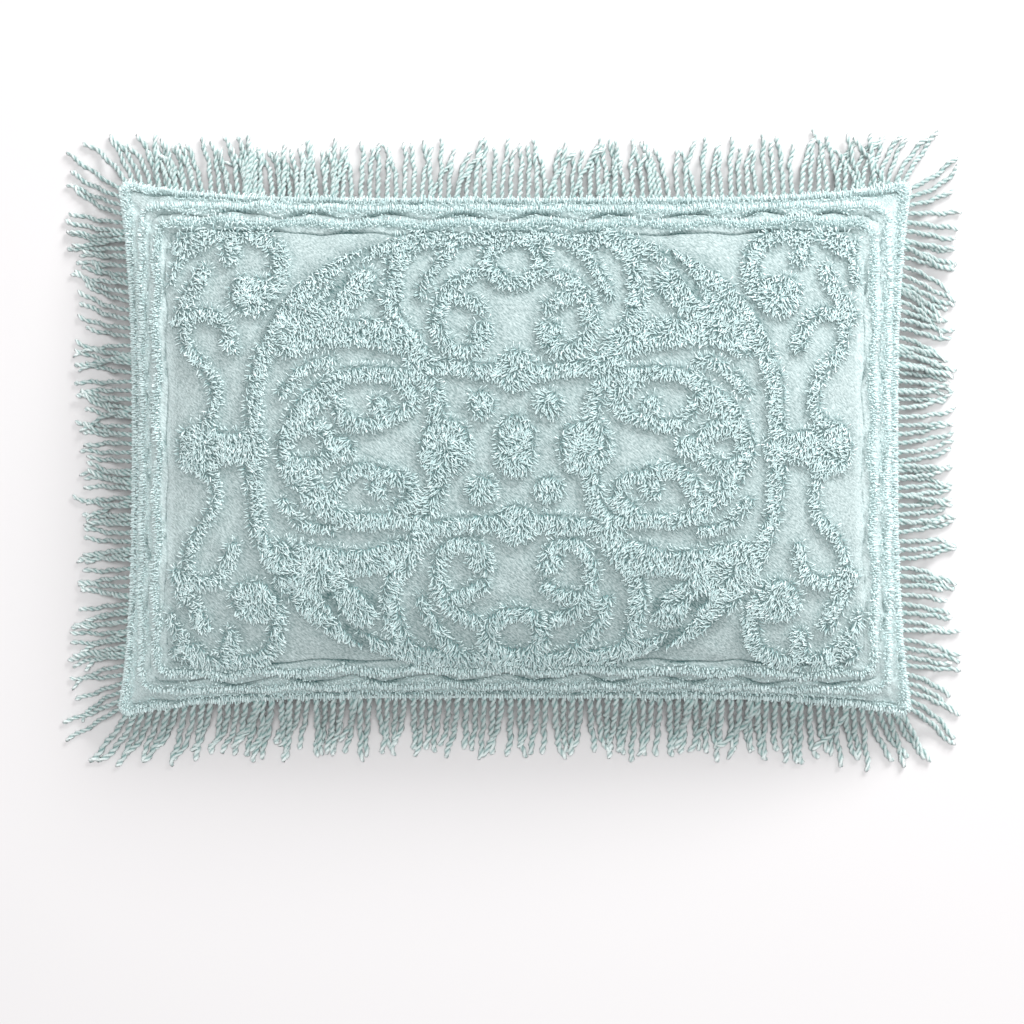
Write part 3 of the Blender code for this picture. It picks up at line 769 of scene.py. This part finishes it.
def worked_face(top, field, u, v):
    """The tufted face: points, directions, normal, how near the pile it is, depth in a fold."""
    point, along_u, along_v, normal = surface_frame(top, u, v)
    inner = field.depth(u, v)
    depth = np.maximum(inner, border_depth(u, v))
    share = np.clip((depth - BED_INSET) / BED_SHOULDER, 0, 1)
    pocket = np.clip(1 + np.minimum(inner, 0) / POCKET_REACH, 0, 1)
    fold, roll, cavity = folds(u, v)
    inward_u, inward_v = slope(lambda a, b: distance_from_seam(a, b, ROLL_CORNER_RADIUS), u, v)
    inward = inward_u[..., None] * along_u + inward_v[..., None] * along_v
    inward /= np.linalg.norm(inward, axis=-1, keepdims=True) + 1e-9
    edge = np.clip(from_edge(u, v) / EDGE_FADE, 0, 1)
    rise = BED_RISE * np.sqrt(1 - (1 - share) ** 2) + fold
    rise += drift(u, v, *RUMPLE_DRIFT)
    point = point + normal * (rise * edge)[..., None] + inward * (roll * edge)[..., None]
    return point, along_u, along_v, normal, (share, pocket), cavity


def build_cover(top, bottom, field):
    across = places(CUT_HALF_X)
    along = places(CUT_HALF_Y)
    u, v = np.meshgrid(across, along, indexing="ij")
    face, _, _, _, (share, pocket), cavity = worked_face(top, field, u, v)
    ids = numbered(u.shape)

    back_across = np.linspace(-1, 1, BACK_CELLS_X + 1) * (CUT_HALF_X - BACK_INSET)
    back_along = np.linspace(-1, 1, BACK_CELLS_Y + 1) * (CUT_HALF_Y - BACK_INSET)
    back_u, back_v = np.meshgrid(back_across, back_along, indexing="ij")
    back = settle(resample(bottom, back_u, back_v))
    back_ids = u.size + numbered(back_u.shape)

    def rim_places(a, b):
        a = (a - a[0]) / (a[-1] - a[0])
        b = (b - b[0]) / (b[-1] - b[0])
        return np.concatenate([a[:-1], 1 + b[:-1], 2 + (1 - a[:0:-1]), 3 + (1 - b[:0:-1]), [4]])

    face_at = rim_places(across, along)
    back_at = rim_places(back_across, back_along)
    strip = stitch(rim(ids), face_at, rim(back_ids), back_at)
    points = np.concatenate([face.reshape(-1, 3), back.reshape(-1, 3)])
    faces = [grid_faces(ids), grid_faces(back_ids)[:, ::-1], strip]
    # Painted shade: the cloth is painted darker in the fold troughs, under the pile and next to the
    # bands; painted light makes it lighter towards the short sides.
    tone = (1 - np.clip(cavity, 0, 1)) * (1 - UNDER_PILE_SHADE * share) * GROUND_TONE
    tone *= (1 - POCKET_SHADE * pocket) * side_painted_light(u)
    # Painted light: the border of the short sides is painted lighter, as its steep rows get less
    # light.
    at_end = (CUT_HALF_X - np.abs(u) < BORDER_BAND) & on_short_side(u, v)
    tone *= np.where(at_end, END_ROW_PAINTED_LIGHT, 1.0)
    tone = np.concatenate([tone.ravel(), np.full(back_u.size, GROUND_TONE)])
    return mesh_object("cover", points + sham_offset(), faces, tone)


# ---- the cut pile


def yarn_ends(name, stand, lie, curled, rng):
    """Bent yarn ends with three sides on the worked face; a curled one keeps its width longer."""
    point, along_u, along_v, normal, _, cavity = stand
    lean_to, lean, length, radius, root_tone, pale = lie
    turn_at, bend = (PILE_TURN, PILE_BEND) if curled else (ROW_YARN_TURN, ROW_YARN_BEND)
    count = len(point)
    length = length * (1 + PILE_LENGTH_SPREAD * rng.uniform(-1, 1, count))
    radius = radius * rng.uniform(*PILE_RADIUS_SHARES, count)
    turns = rng.uniform(0, 2 * math.pi, count)

    def ring(here, heading, toward, width):
        side = np.cross(normal, toward)
        over = np.cross(heading, side)
        rows = []
        for corner in range(3):
            round_it = between(side, over, turns + corner * 2 * math.pi / 3)
            rows.append(here + round_it * (radius * width)[:, None])
        return rows

    root = point - normal * PILE_ROOT_DEPTH
    hook = PILE_HOOK * rng.normal(0, 1, count) if curled else 0.0
    toward = between(along_u, along_v, lean_to)
    hooked = between(along_u, along_v, lean_to + hook)
    lower = between(normal, toward, lean - bend[0])
    upper = between(normal, hooked, lean + bend[1])
    shoulder = root + lower * (turn_at * length)[:, None]
    end = shoulder + upper * ((1 - turn_at) * length)[:, None]
    rows = ring(root, lower, toward, YARN_WIDTHS[0])
    rows += ring(shoulder, (lower + upper) / 2, toward, YARN_WIDTHS[1])
    if curled:
        rows += ring(end, upper, hooked, YARN_WIDTHS[2])
    rows.append(end + upper * radius[:, None])
    points = np.stack(rows, axis=1)
    faces = []
    last = len(rows) - 1
    for low in range(0, last, 3):
        for a, b in ((low, low + 1), (low + 1, low + 2), (low + 2, low)):
            faces += [(a, b, last)] if low == last - 3 else [(a, b, b + 3), (a, b + 3, a + 3)]
    faces = (np.array(faces)[None] + len(rows) * np.arange(count)[:, None, None]).reshape(-1, 3)
    # Painted shade: each yarn end is painted dark at its root and light at its end, less so as its
    # root tone rises.
    shade = np.array([*np.repeat(YARN_PAINTED_SHADING, 3)[:last], YARN_PAINTED_SHADING[-1]])
    shade = shade + (1 - shade) * root_tone[:, None]
    # Painted shade: yarn in a fold is painted darker; pale is the painted light towards the short
    # sides.
    yarn_tone = rng.uniform(*YARN_TONES, count) * pale * (1 - YARN_FOLD_SHADE * cavity)
    tone = shade * yarn_tone[:, None]
    return mesh_object(name, points.reshape(-1, 3) + sham_offset(), [faces], tone)


def medallion_shares(u, v):
    """Shares of the medallion's radii, and how far out a place is: 1 on its outer edge."""
    across = np.abs(u) / MEDALLION_RADII[0]
    along = np.abs(v) / MEDALLION_RADII[1]
    return across, along, across ** MEDALLION_SQUARENESS + along ** MEDALLION_SQUARENESS


def is_bare(u, v, border, inner):
    """Whether a point of a band is left without yarn."""
    # A plain strip runs along the outer side of the inner row.
    from_seam = distance_from_seam(u, v, INNER_ROW_FROM)
    bare = (border >= inner) & (from_seam >= INNER_ROW_FROM) & (border <= INNER_ROW_INSET)
    across, along, reach = medallion_shares(u, v)
    on_diagonal = np.minimum(across, along) > CHANNEL_FROM
    bare |= (reach > CHANNEL_REACH[0]) & (reach < CHANNEL_REACH[1]) & on_diagonal
    for _, width, points in BARE_STRIPS:
        bare |= distance_to_line(np.abs(u), np.abs(v), smooth_line(points)) <= width / 2
    return bare


def yarn_places(field, rng):
    """Where the yarn ends stand, and how deep in the border rows and in the medallion."""
    rows = int(2 * CUT_HALF_Y / (PILE_PITCH * PILE_STAGGER))
    columns = int(2 * CUT_HALF_X / PILE_PITCH)
    i, j = np.meshgrid(np.arange(columns), np.arange(rows), indexing="ij")
    u = (i + 0.5 * (j % 2) + 0.25) * PILE_PITCH - CUT_HALF_X
    v = (j + 0.5) * PILE_PITCH * PILE_STAGGER - CUT_HALF_Y
    u = (u + PILE_JITTER * PILE_PITCH * rng.uniform(-1, 1, u.shape)).ravel()
    v = (v + PILE_JITTER * PILE_PITCH * rng.uniform(-1, 1, v.shape)).ravel()
    # In the border the yarn stands in ribs that run across its rows.
    in_border = border_depth(u, v) > field.depth(u, v)
    on_ends = on_short_side(u, v)
    shift = drift(u, v, *RIB_DRIFT)
    rib_u = np.round((u + shift) / RIB_PITCH) * RIB_PITCH - shift
    rib_v = np.round((v + shift) / RIB_PITCH) * RIB_PITCH - shift
    u = np.where(in_border & ~on_ends, rib_u + RIB_STRAY * (u - rib_u), u)
    v = np.where(in_border & on_ends, rib_v + RIB_STRAY_ENDS * (v - rib_v), v)
    border = border_depth(u, v)
    inner = field.depth(u, v)
    keep = (np.maximum(border, inner) > PILE_INSET) & (from_edge(u, v) > PILE_SEAM_GAP)
    keep &= (folds(u, v)[2] < FOLD_BARE) & ~is_bare(u, v, border, inner)
    return (a[keep] for a in (u, v, border, inner))


def yarn_lie(field, u, v, border, inner, rng):
    """Which way and how far each yarn end leans, its length, radius and its painted root shade."""
    in_border = border > inner
    away = -np.where(in_border, slope(border_depth, u, v), slope(field.depth, u, v))
    away_u, away_v = away / (np.hypot(*away) + 1e-9)
    # Ends near the edge of a band splay out over it; those inside lie across it, combed one way.
    inset = np.maximum(border, inner) - PILE_INSET
    splay = np.clip(1 - inset / np.where(in_border, ROW_YARN_REACH, PILE_SPLAY), 0, 1)
    comb = PILE_COMB - PILE_FAN * u + drift(u, v, *PILE_SWIRL_DRIFT)
    facing = np.where(away_u * np.cos(comb) + away_v * np.sin(comb) < 0, -1.0, 1.0)
    inside_u = PILE_ACROSS * facing * away_u + PILE_COMBED * np.cos(comb)
    inside_v = PILE_ACROSS * facing * away_v + PILE_COMBED * np.sin(comb)
    inside = np.where(in_border, ROW_YARN_COMBED, 1 - splay)
    lean_to = np.arctan2(away_v * splay + inside_v * inside, away_u * splay + inside_u * inside)
    lean_to += rng.normal(0, 1, len(u)) * np.where(in_border, ROW_YARN_STRAY, PILE_STRAY)
    row_lean = ROW_YARN_LEAN[0] + ROW_YARN_LEAN[1] * np.clip(1 - inset / ROW_YARN_REACH, 0, 1)
    lean = np.radians(np.where(in_border, row_lean, PILE_LEAN[0] + PILE_LEAN[1] * splay))
    lean = np.clip(lean + rng.normal(0, LEAN_SPREAD, len(u)), *LEAN_LIMITS)
    length = np.where(in_border, ROW_YARN_LENGTH, PILE_LENGTH)
    # The yarn next to the seam is longer and lies over the tops of the ropes.
    on_ends = on_short_side(u, v)
    at_edge = np.clip(EDGE_YARN_FADE * (1 - from_edge(u, v) / EDGE_YARN_REACH), 0, 1)
    at_edge *= np.where(on_ends, EDGE_YARN_ON_ENDS, 1.0)
    length *= 1 + at_edge * rng.uniform(*EDGE_YARN_LONGER, len(u))
    lean += EDGE_YARN_LEAN * at_edge
    lean_to += EDGE_YARN_STRAY * at_edge * rng.normal(0, 1, len(u))
    radius = np.where(in_border, ROW_YARN_RADIUS, PILE_RADIUS)
    # Painted shade at the roots: kept in the medallion, mostly lifted in the border rows and lifted
    # on the short sides, which are painted lighter.
    root_tone = np.where(in_border, np.where(on_ends, ROW_ROOT_TONE_ENDS, ROW_ROOT_TONE), 0.0)
    return lean_to, lean, length, radius, root_tone


def build_pile(top, field):
    rng = np.random.default_rng(PILE_SEED)
    u, v, border, inner = yarn_places(field, rng)
    # The yarn gets the same painted light towards the short sides as the cloth.
    lie = (*yarn_lie(field, u, v, border, inner, rng), side_painted_light(u))
    across, along, reach = medallion_shares(u, v)
    in_border = border > inner
    inside = ~in_border & (reach <= 1)
    sides = inside & (along <= across)
    parts = {
        "pile_rows": in_border,
        "pile_corners": ~in_border & (reach > 1),
        "pile_ends": inside & (along > across),
        "pile_side_left": sides & (u < 0),
        "pile_side_right": sides & (u >= 0),
    }
    made = []
    for name, chosen in parts.items():
        stand = worked_face(top, field, u[chosen], v[chosen])
        curled = name != "pile_rows"
        made.append(yarn_ends(name, stand, [a[chosen] for a in lie], curled, rng))
    return made


# ---- the fringe


class SideSeam:
    """The seam of one side, walked by length from the middle of one corner to the next."""

    def __init__(self, side):
        self.out = np.array(side, float)
        self.along = np.array([abs(side[1]), abs(side[0])], float)
        share = np.linspace(-1, 1, SEAM_SAMPLES)
        u = CUT_HALF_X * (share * self.along[0] + side[0])
        v = CUT_HALF_Y * (share * self.along[1] + side[1])
        x, y = plan(*eased(u, v))
        self.points = np.column_stack([x, y, seam_z(u, v)])
        steps = np.hypot(np.diff(x), np.diff(y))
        self.at = np.concatenate([[0], np.cumsum(steps)])
        self.length = self.at[-1]

    def point(self, at):
        return np.array([np.interp(at, self.at, self.points[:, k]) for k in range(3)]).T

    def outward(self, at):
        ahead = self.point(np.minimum(at + SEAM_LOOK, self.length))[..., :2]
        behind = self.point(np.maximum(at - SEAM_LOOK, 0))[..., :2]
        tangent = unit(ahead - behind)
        normal = np.stack([-tangent[..., 1], tangent[..., 0]], axis=-1)
        return np.sign(normal @ self.out)[..., None] * normal


def strands_of(seam, leans, rng):
    """The ropes of one run: root place, angle from square to the side (radians) and reach."""
    count = int(round(seam.length / STRAND_PITCH))
    root = (np.arange(count) + 0.5) * seam.length / count
    reach = STRAND_REACH + STRAND_REACH_SPREAD * rng.uniform(-1, 1, count)
    share = 2 * root / seam.length - 1
    lean = np.interp(share, [place for place, _ in leans], [angle for _, angle in leans])
    fan = FAN_ANGLE * (np.exp(-(seam.length - root) / FAN_REACH) - np.exp(-root / FAN_REACH))
    near_end = np.exp(-np.minimum(root, seam.length - root) / FAN_REACH)
    angle = np.radians(lean * (1 - near_end) + fan + rng.uniform(-1, 1, count) * LEAN_JITTER)

    # Neighbours gather in small clumps, and are then parted until none touches the next.
    base = seam.point(root) @ np.array([*seam.along, 0])
    tip = base + reach * np.sin(angle)
    start = 0
    while start < count:
        clump = slice(start, start + int(rng.integers(1, CLUMP_LIMIT + 1)))
        if root[clump].min() > CLUMP_CLEAR and root[clump].max() < seam.length - CLUMP_CLEAR:
            tip[clump] += CLUMP_PULL * (tip[clump].mean() - tip[clump])
        start = clump.stop
    for _ in range(PARTING_PASSES):
        lack = np.maximum(STRAND_GAP - np.diff(tip), 0) / 2
        tip[:-1] -= lack
        tip[1:] += lack
    angle = np.arcsin(np.clip((tip - base) / reach, -STEEPEST_LEAN, STEEPEST_LEAN))
    return root, angle, reach


def rope_paths(seam, root, angle, reach, shares, lift):
    """Points along the middle of every rope of a run, from the seam to the floor."""
    start = seam.point(root)[:, None, :]
    share = shares[None, :]
    curl = share * (1 - STRAND_CURL) + share ** 2 * STRAND_CURL
    aside = (np.sin(angle) * reach)[:, None] * curl
    ahead = (np.cos(angle) * reach)[:, None] * share
    fall = np.clip(share / STRAND_REST_SHARE, 0, 1)
    drop = (start[..., 2] - ROPE_REST) * (3 * fall ** 2 - 2 * fall ** 3)
    raised = lift[:, None] * np.clip(share * CROSSING_RISE, 0, 1)
    plan_place = start[..., :2] + seam.out * ahead[..., None] + seam.along * aside[..., None]
    return np.concatenate([plan_place, (start[..., 2] - drop + raised)[..., None]], axis=-1)


def rope_section():
    """Outline of two plies side by side: eight points, two of them in the grooves."""
    groove = math.sqrt(ROPE_PLY_RADIUS ** 2 - ROPE_PLY_OFFSET ** 2)
    ply = []
    for turn in (-ROPE_PLY_ARC, 0, ROPE_PLY_ARC):
        out = ROPE_PLY_OFFSET + ROPE_PLY_RADIUS * math.cos(turn)
        ply.append((out, ROPE_PLY_RADIUS * math.sin(turn)))
    ply.append((0.0, groove * ROPE_GROOVE))
    return np.array(ply + [(-x, -y) for x, y in ply])


def with_crossings(name, seam, root, angle, reach, rng):
    """The ropes of a run, and those that lie across them, in order along the seam."""
    lift = np.zeros(len(root))
    for run, first, last, many in CROSSING:
        if run != name:
            continue
        at = (np.sort(rng.uniform(first, last, many)) + 1) / 2 * seam.length
        turned = np.interp(at, root, angle) + np.radians(CROSSING_LEAN) * rng.uniform(-1, 1, many)
        root = np.concatenate([root, at])
        angle = np.concatenate([angle, turned])
        reach = np.concatenate([reach, STRAND_REACH * rng.uniform(*CROSSING_REACHES, many)])
        lift = np.concatenate([lift, np.full(many, CROSSING_LIFT)])
    order = np.argsort(root, kind="stable")
    return (a[order] for a in (root, angle, reach, lift))


def walked_along(path, weights=(1, 1, 1)):
    """How far along its rope each point lies; the weights are for steps in x, y and z."""
    steps = np.linalg.norm(np.diff(path, axis=1) * weights, axis=-1)
    return np.concatenate([np.zeros((len(steps), 1)), np.cumsum(steps, axis=1)], axis=1)


def rope_faces(count, sides):
    """Quads of the walls of all ropes, and the three that close each of their ends."""
    ids = numbered((count, ROPE_RINGS, sides))
    following = np.roll(ids, -1, axis=2)
    walls = np.stack([ids[:, :-1], following[:, :-1], following[:, 1:], ids[:, 1:]], axis=-1)
    caps = []
    for ends, turn in ((ids[:, -1], 1), (ids[:, 0], -1)):
        for corners in ((0, 1, 2, 3), (0, 3, 4, 7), (7, 4, 5, 6)):
            caps.append(ends[:, corners[::turn]])
    return np.concatenate([walls.reshape(-1, 4), *caps])


def build_ropes(name, side, leans, rng):
    seam = SideSeam(side)
    strands = strands_of(seam, leans, rng)
    extra = np.random.default_rng(SEED + sum(map(ord, name)))
    root, angle, reach, lift = with_crossings(name, seam, *strands, extra)
    shares = np.linspace(ROPE_START, 1.0, ROPE_RINGS)
    outward = np.clip(shares, 0, 1)

    def vary(limits):
        return extra.uniform(*limits, (len(root), 1))

    path = rope_paths(seam, root, angle, reach, shares, lift)
    ahead = unit(np.gradient(path, axis=1))
    level = unit(np.cross(np.array([0.0, 0.0, 1.0]), ahead))
    upper = np.cross(ahead, level)
    walked = walked_along(path)

    # Each rope waves and curls a little as it lies.
    phase = walked / ROPE_WAVE_LENGTH * 2 * math.pi + vary(ROPE_PHASES)
    wave = ROPE_WAVE * np.sin(phase) * outward
    wave += ROPE_CURL * extra.normal(0, 1, (len(root), 1)) * outward ** 3
    path = path + level * wave[..., None]

    # Its section turns with the twist, and tapers to a round tip.
    turned_by = walked_along(path, (1, 1, ROPE_FALL_TWIST))
    pitch = ROPE_TWIST * ROPE_SIZES[name] * vary(ROPE_TWIST_SPREAD)
    twist = turned_by / pitch * 2 * math.pi + vary(ROPE_PHASES)
    twist += ROPE_SLACK * np.sin(walked / ROPE_SLACK_LENGTH * 2 * math.pi + vary(ROPE_PHASES))
    size = ROPE_SIZES[name] * vary(ROPE_SIZE_SPREAD) * np.ones_like(walked)
    to_tip = walked[:, -1:] - walked
    taper = 1 - np.minimum(to_tip / ROPE_TIP_LENGTH, 1)
    size *= np.clip(np.sqrt(1 - taper ** 2), ROPE_TIP_LEAST, 1)
    section = rope_section()
    cos = np.cos(twist)[..., None]
    sin = np.sin(twist)[..., None]
    across = (section[:, 0] * cos - section[:, 1] * sin) * size[..., None]
    above = (section[:, 0] * sin + section[:, 1] * cos) * size[..., None]
    points = path[:, :, None] + across[..., None] * level[:, :, None]
    points += above[..., None] * upper[:, :, None]
    points[..., 2] = np.maximum(points[..., 2], FLOOR_GAP)

    # Painted shade and light: the grooves are painted darker than the crests of the plies, the rope
    # darker near the seam in the cover's shadow, and the cut tips lighter where they catch the
    # light.
    radial = np.linalg.norm(section, axis=1)
    crest = np.sqrt((radial - radial.min()) / (radial.max() - radial.min()))
    tip = np.clip(1 - to_tip / ROPE_TIP_REACH, 0, 1)
    tone = crest * (ROPE_TONE + ROPE_PAINTED_LIGHT_RISE * outward)[None, :, None]
    tone = tone + ROPE_TIP_PAINTED_LIGHT * tip[..., None]
    tone = np.clip(tone * vary(ROPE_TONE_SPREAD)[..., None], 0, 1)
    faces = rope_faces(len(root), len(section))
    return mesh_object(name + "_ropes", points.reshape(-1, 3) + sham_offset(), [faces], tone)


def build_header(name, side):
    """The woven heading that holds the upper ends of a run's ropes."""
    seam = SideSeam(side)
    at = np.linspace(HEADER_END_GAP, seam.length - HEADER_END_GAP, int(seam.length / HEADER_STEP))
    depth, height = np.array(HEADER_OUTLINE).T
    points = np.repeat(seam.point(at)[:, None], len(depth), axis=1)
    points[..., :2] += seam.outward(at)[:, None] * (HEADER_GAP + depth * HEADER_DEPTH)[:, None]
    points[..., 2] += height * STRAND_RADIUS
    ids = numbered(points.shape[:2])
    walls = grid_faces(np.concatenate([ids, ids[:, :1]], axis=1))
    first, last = ids[0], ids[-1]
    ends = [first[[5, 4, 1, 0]], first[[4, 3, 2, 1]], last[[0, 1, 4, 5]], last[[1, 2, 3, 4]]]
    faces = np.concatenate([walls, ends])
    if side[0] - side[1] < 0:
        faces = faces[:, ::-1]
    tone = np.ones(points.shape[:2])
    return mesh_object(name + "_header", points.reshape(-1, 3) + sham_offset(), [faces], tone)


# ---- materials


def set_inputs(node, values):
    for socket, value in values.items():
        node.inputs[socket].default_value = value


def shaded(name, inputs):
    """A new material whose shader has the given inputs."""
    material = bpy.data.materials.new(name)
    material.use_nodes = True
    set_inputs(material.node_tree.nodes["Principled BSDF"], inputs)
    return material


def cotton(name, dark, light, grain_size, grain_depth, fleck):
    """Matte cotton coloured by the mesh's tone, which holds painted light and shade, with a fine
    grain.
    """
    material = shaded(name, COTTON_INPUTS)
    tree = material.node_tree

    def node(kind, inputs=None, **fields):
        made = tree.nodes.new("ShaderNode" + kind)
        for field, value in fields.items():
            setattr(made, field, value)
        set_inputs(made, inputs or {})
        return made

    place = node("TexCoord")
    weave = {"Rotation": (0, 0, WEAVE_TURN), "Scale": WEAVE_STRETCH}
    turned = node("Mapping", weave, vector_type="TEXTURE")
    grain = node("TexNoise", {"Scale": 1 / grain_size, "Detail": GRAIN_DETAIL})
    read = node("Attribute", attribute_name="tone")
    mix = node("Mix", {"A": (*dark, 1.0), "B": (*light, 1.0)}, data_type="RGBA")
    flecked = node("Math", {1: fleck}, operation="MULTIPLY_ADD")
    level = node("Math", {1: fleck / 2}, operation="SUBTRACT")
    bump = node("Bump", {"Strength": 1.0, "Distance": grain_depth})
    shader = tree.nodes["Principled BSDF"]
    for giver, output, taker, socket in (
        (place, "Object", turned, "Vector"),
        (turned, "Vector", grain, "Vector"),
        (grain, "Fac", flecked, 0),
        (read, "Fac", level, 0),
        (level, "Value", flecked, 2),
        (flecked, "Value", mix, "Factor"),
        (mix, "Result", shader, "Base Color"),
        (grain, "Fac", bump, "Height"),
        (bump, "Normal", shader, "Normal"),
    ):
        tree.links.new(giver.outputs[output], taker.inputs[socket])
    return material


# ---- the set


def build_floor():
    points = FLOOR_HALF * np.array([(-1, -1, 0), (1, -1, 0), (1, 1, 0), (-1, 1, 0)])
    floor = mesh_object("floor", points, [np.array([(0, 1, 2, 3)])])
    floor.data.materials.append(shaded("floor_paper", FLOOR_INPUTS))


def build_lights():
    world = bpy.data.worlds.new("studio")
    bpy.context.scene.world = world
    world.use_nodes = True
    set_inputs(world.node_tree.nodes["Background"], WORLD_INPUTS)
    for name, size, energy, place in LAMPS:
        light = bpy.data.lights.new(name, "AREA")
        light.shape = "SQUARE"
        light.size = size
        light.energy = energy
        lamp = bpy.data.objects.new(name, light)
        lamp.location = place
        lamp.rotation_euler = (-Vector(place)).to_track_quat("-Z", "Y").to_euler()
        bpy.context.scene.collection.objects.link(lamp)


def build_camera():
    data = bpy.data.cameras.new("camera")
    data.lens = LENS
    data.sensor_width = SENSOR
    camera = bpy.data.objects.new("camera", data)
    height = SCALE_HEIGHT + IMAGE_WIDTH * PIXEL * LENS / SENSOR
    camera.location = sham_offset() + (-CAMERA_ASIDE, -CAMERA_DOWN, height)
    bpy.context.scene.collection.objects.link(camera)
    bpy.context.scene.camera = camera


# ---- the whole


bpy.context.scene.view_settings.view_transform = "Standard"
build_floor()
build_lights()
build_camera()

cover_cotton, pile_cotton, rope_cotton = (cotton(*row) for row in COTTONS)

top_panel, bottom_panel = filled_panels()
tufting = Field()
cover = build_cover(top_panel, bottom_panel, tufting)
cover.data.materials.append(cover_cotton)
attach(cover, "root")
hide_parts("sham")

for pile in build_pile(top_panel, tufting):
    pile.data.materials.append(pile_cotton)
    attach(pile, "root")

fringe_rng = np.random.default_rng(SEED)
for run_name, run_side, run_leans in RUNS:
    ropes = build_ropes(run_name, run_side, run_leans, fringe_rng)
    ropes.data.materials.append(rope_cotton)
    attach(ropes, "root")
    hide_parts(run_name)
    header = build_header(run_name, run_side)
    header.data.materials.append(cover_cotton)
    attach(header, "root")
